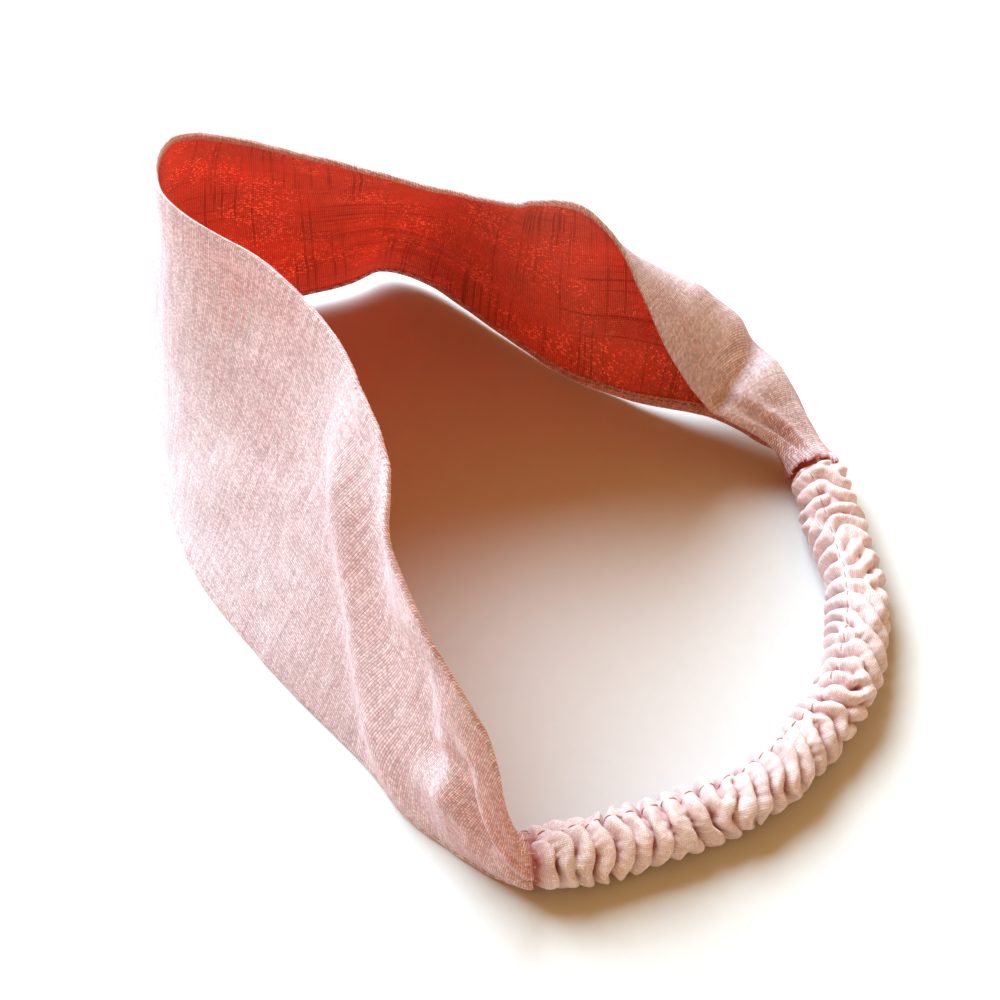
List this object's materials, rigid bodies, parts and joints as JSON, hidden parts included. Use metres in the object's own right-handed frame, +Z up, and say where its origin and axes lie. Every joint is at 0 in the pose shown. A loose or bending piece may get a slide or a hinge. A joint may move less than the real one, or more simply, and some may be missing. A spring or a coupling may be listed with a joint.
{
  "type": "sports headband",
  "caption": "Wide tapered linen headband with a lining and a gathered elastic back, standing on its long edge as an open loop.",
  "frame": {"origin": "centre of the bounding box's bottom face, on the surface the headband stands on", "axes": "+Z up, the forehead side of the loop towards -Y, the gathered elastic back towards +Y, the wearer's left towards +X"},
  "size_m": [0.1405, 0.1835, 0.094],
  "materials": {
    "pink_linen": "matte plain weave",
    "coral_linen": "matte plain weave",
    "gathered_linen": "matte, gathered",
    "sewing_thread": "matte thread",
    "elastic": "covered elastic"
  },
  "bodies": {
    "front_panel": {"outer_panel": "pink_linen", "lining_panel": "coral_linen", "top_edge_stitching": "sewing_thread", "bottom_edge_stitching": "sewing_thread", "left_end_stitching": "sewing_thread", "right_end_stitching": "sewing_thread", "left_elastic_tack": "sewing_thread", "right_elastic_tack": "sewing_thread"},
    "elastic_back": {"elastic_casing": "gathered_linen", "elastic_band": "elastic", "casing_seam_stitching": "sewing_thread"}
  },
  "joints": [
    {"name": "elastic_stretch", "type": "slide", "parent": "front_panel", "child": "elastic_back", "axis": [0, 1, 0], "range_m": [0, 0.045], "stiffness_N_per_m": 120, "deforming": ["elastic_casing", "elastic_band", "casing_seam_stitching"]}
  ]
}
